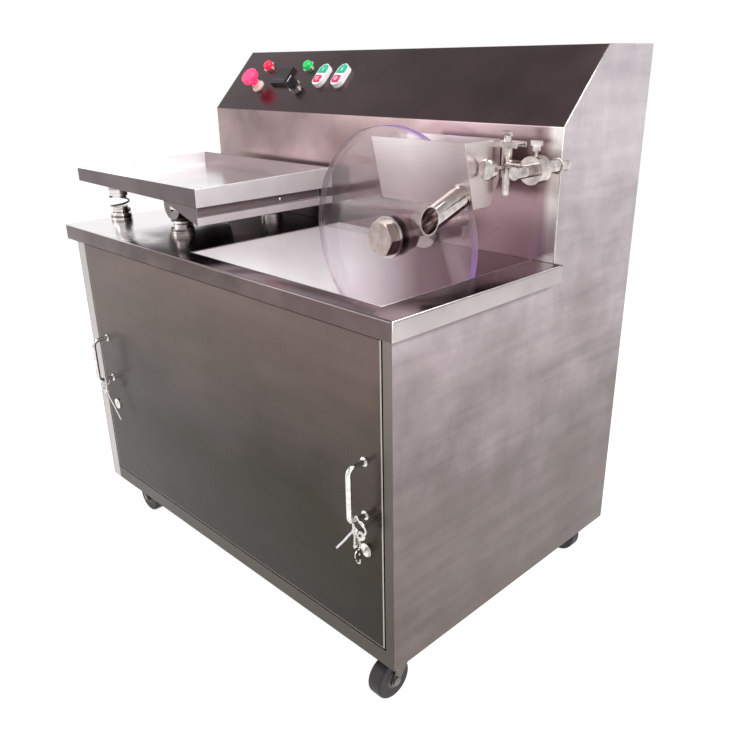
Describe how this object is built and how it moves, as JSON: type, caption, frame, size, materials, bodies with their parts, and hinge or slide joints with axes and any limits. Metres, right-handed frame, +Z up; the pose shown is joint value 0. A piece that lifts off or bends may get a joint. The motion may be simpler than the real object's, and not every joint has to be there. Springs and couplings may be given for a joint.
{
  "type": "chocolate moulding machine",
  "caption": "Stainless cabinet on swivel casters with a heated basin, a driven clear moulding wheel, a stripping trough with spout, a vibrating mould tray and a sloping control console.",
  "frame": {"origin": "middle of the whole outline, on the floor under the casters", "axes": "+X along the front from left to right, +Y from the front to the rear, +Z up"},
  "size_m": [1.017, 0.7225, 1.0605],
  "materials": {
    "brushed stainless": "brushed 304 stainless sheet",
    "polished stainless": "mirror polished stainless sheet",
    "turned stainless": "turned stainless bar and tube",
    "folded steel": "plain folded stainless sheet",
    "spring steel": "oiled spring wire",
    "clear acrylic": "polished clear sheet with a violet edge",
    "silicone heater": "glass-fibre reinforced silicone",
    "grey motor paint": "stoved enamel on cast housings",
    "zinc plated steel": "bright zinc plate",
    "black tyre": "solid black rubber",
    "nickel plate": "nickel plated zinc casting",
    "board and switchgear": "galvanised plate with grey moulded switchgear",
    "black nylon": "moulded black nylon",
    "pale grey plastic": "moulded pale grey plastic",
    "red plastic": "moulded red plastic",
    "green plastic": "moulded green plastic"
  },
  "bodies": {
    "cabinet": {"base_frame": "folded steel", "left_side_panel": "brushed stainless", "right_side_panel": "brushed stainless", "front_frame": "brushed stainless", "rear_panel": "brushed stainless", "worktop": "polished stainless", "basin": "polished stainless", "basin_heater": "silicone heater", "console_panel": "brushed stainless", "shaft_bearing": "turned stainless", "gearmotor": "grey motor paint", "motor_shelf": "folded steel", "electrical_board": "board and switchgear", "cable_gland": "black nylon", "lower_spring_seats": "turned stainless", "arm_rod": "turned stainless", "caster_plates": "zinc plated steel", "emergency_stop_base": "pale grey plastic", "temperature_controller": "black nylon", "control_bezels": "nickel plate", "switch_housings": "pale grey plastic", "red_lamp_lens": "red plastic", "green_lamp_lens": "green plastic"},
    "front_panel": {"front_panel": "brushed stainless", "panel_handles": "turned stainless", "lock_housings": "nickel plate"},
    "left_lock": {"left_cam_lock": "nickel plate"},
    "right_lock": {"right_cam_lock": "nickel plate"},
    "wheel": {"drive_shaft": "turned stainless", "moulding_wheel": "clear acrylic", "wheel_front_flange": "turned stainless", "wheel_rear_hub": "turned stainless", "wheel_nut": "turned stainless"},
    "arm": {"clamp_arm": "turned stainless"},
    "collar_screw": {"collar_screw": "turned stainless"},
    "sleeve_knob": {"sleeve_knob": "turned stainless"},
    "trough": {"height_post": "turned stainless", "trough_hanger": "turned stainless", "trough": "polished stainless", "spout": "turned stainless"},
    "hanger_screw": {"hanger_screw": "turned stainless"},
    "tray": {"vibrating_tray": "polished stainless", "tray_apron": "polished stainless", "upper_spring_cups": "turned stainless", "tray_springs": "spring steel", "vibration_motor": "grey motor paint"},
    "emergency_stop": {"emergency_stop_button": "red plastic"},
    "selector": {"selector_knob": "black nylon"},
    "left_start": {"left_start_button": "green plastic"},
    "left_stop": {"left_stop_button": "red plastic"},
    "right_start": {"right_start_button": "green plastic"},
    "right_stop": {"right_stop_button": "red plastic"},
    "left_front_fork": {"left_front_caster_fork": "zinc plated steel"},
    "left_front_wheel": {"left_front_caster_wheel": "black tyre"},
    "left_rear_fork": {"left_rear_caster_fork": "zinc plated steel"},
    "left_rear_wheel": {"left_rear_caster_wheel": "black tyre"},
    "right_front_fork": {"right_front_caster_fork": "zinc plated steel"},
    "right_front_wheel": {"right_front_caster_wheel": "black tyre"},
    "right_rear_fork": {"right_rear_caster_fork": "zinc plated steel"},
    "right_rear_wheel": {"right_rear_caster_wheel": "black tyre"}
  },
  "joints": [
    {"name": "front_panel_pull", "type": "slide", "parent": "cabinet", "child": "front_panel", "axis": [0, -1, 0], "range_m": [0, 0.25]},
    {"name": "left_lock_turn", "type": "hinge", "parent": "front_panel", "child": "left_lock", "pos_m": [-0.3955, -0.32175, 0.31], "axis": [0, 1, 0], "range_deg": [0, 90]},
    {"name": "right_lock_turn", "type": "hinge", "parent": "front_panel", "child": "right_lock", "pos_m": [0.4335, -0.32175, 0.31], "axis": [0, -1, 0], "range_deg": [0, 90]},
    {"name": "wheel_spin", "type": "hinge", "parent": "cabinet", "child": "wheel", "pos_m": [0.1985, -0.02675, 0.7365], "axis": [0, 1, 0], "continuous": true},
    {"name": "arm_swing", "type": "hinge", "parent": "cabinet", "child": "arm", "pos_m": [0.4865, 0.00925, 0.878], "axis": [0, 1, 0], "range_deg": [0, 90]},
    {"name": "collar_screw_turn", "type": "hinge", "parent": "arm", "child": "collar_screw", "pos_m": [0.4865, 0.00925, 0.9], "axis": [0, 0, 1], "continuous": true},
    {"name": "sleeve_knob_turn", "type": "hinge", "parent": "arm", "child": "sleeve_knob", "pos_m": [0.4285, -0.04075, 0.878], "axis": [0, 1, 0], "continuous": true},
    {"name": "trough_lift", "type": "slide", "parent": "arm", "child": "trough", "axis": [0, 0, 1], "range_m": [0, 0.025]},
    {"name": "hanger_screw_turn", "type": "hinge", "parent": "trough", "child": "hanger_screw", "pos_m": [0.4285, 0.01325, 0.918], "axis": [0, 0, 1], "continuous": true},
    {"name": "tray_bounce", "type": "slide", "parent": "cabinet", "child": "tray", "axis": [0, 0, 1], "range_m": [-0.003, 0.003], "stiffness_N_per_m": 24000, "springref_m": 0.0026, "deforming": ["tray_springs"]},
    {"name": "emergency_stop_press", "type": "slide", "parent": "cabinet", "child": "emergency_stop", "axis": [0, 0.7173, -0.6968], "range_m": [0, 0.005], "stiffness_N_per_m": 1500},
    {"name": "selector_turn", "type": "hinge", "parent": "cabinet", "child": "selector", "pos_m": [-0.2295, 0.11893, 0.98606], "axis": [0, -0.7173, 0.6968], "range_deg": [-45, 45]},
    {"name": "left_start_press", "type": "slide", "parent": "cabinet", "child": "left_start", "axis": [0, 0.7173, -0.6968], "range_m": [0, 0.002], "stiffness_N_per_m": 1200},
    {"name": "left_stop_press", "type": "slide", "parent": "cabinet", "child": "left_stop", "axis": [0, 0.7173, -0.6968], "range_m": [0, 0.002], "stiffness_N_per_m": 1200},
    {"name": "right_start_press", "type": "slide", "parent": "cabinet", "child": "right_start", "axis": [0, 0.7173, -0.6968], "range_m": [0, 0.002], "stiffness_N_per_m": 1200},
    {"name": "right_stop_press", "type": "slide", "parent": "cabinet", "child": "right_stop", "axis": [0, 0.7173, -0.6968], "range_m": [0, 0.002], "stiffness_N_per_m": 1200},
    {"name": "left_front_swivel", "type": "hinge", "parent": "cabinet", "child": "left_front_fork", "pos_m": [-0.4315, -0.26275, 0.095], "axis": [0, 0, 1], "continuous": true},
    {"name": "left_front_roll", "type": "hinge", "parent": "left_front_fork", "child": "left_front_wheel", "pos_m": [-0.4035, -0.26275, 0.0375], "axis": [0, 1, 0], "continuous": true},
    {"name": "left_rear_swivel", "type": "hinge", "parent": "cabinet", "child": "left_rear_fork", "pos_m": [-0.4315, 0.30325, 0.095], "axis": [0, 0, 1], "continuous": true},
    {"name": "left_rear_roll", "type": "hinge", "parent": "left_rear_fork", "child": "left_rear_wheel", "pos_m": [-0.44756, 0.28031, 0.0375], "axis": [0.8192, -0.5736, 0], "continuous": true},
    {"name": "right_front_swivel", "type": "hinge", "parent": "cabinet", "child": "right_front_fork", "pos_m": [0.4485, -0.26275, 0.095], "axis": [0, 0, 1], "continuous": true},
    {"name": "right_front_roll", "type": "hinge", "parent": "right_front_fork", "child": "right_front_wheel", "pos_m": [0.4485, -0.29075, 0.0375], "axis": [1, 0, 0], "continuous": true},
    {"name": "right_rear_swivel", "type": "hinge", "parent": "cabinet", "child": "right_rear_fork", "pos_m": [0.4485, 0.30325, 0.095], "axis": [0, 0, 1], "continuous": true},
    {"name": "right_rear_roll", "type": "hinge", "parent": "right_rear_fork", "child": "right_rear_wheel", "pos_m": [0.4205, 0.30325, 0.0375], "axis": [0, -1, 0], "continuous": true}
  ]
}
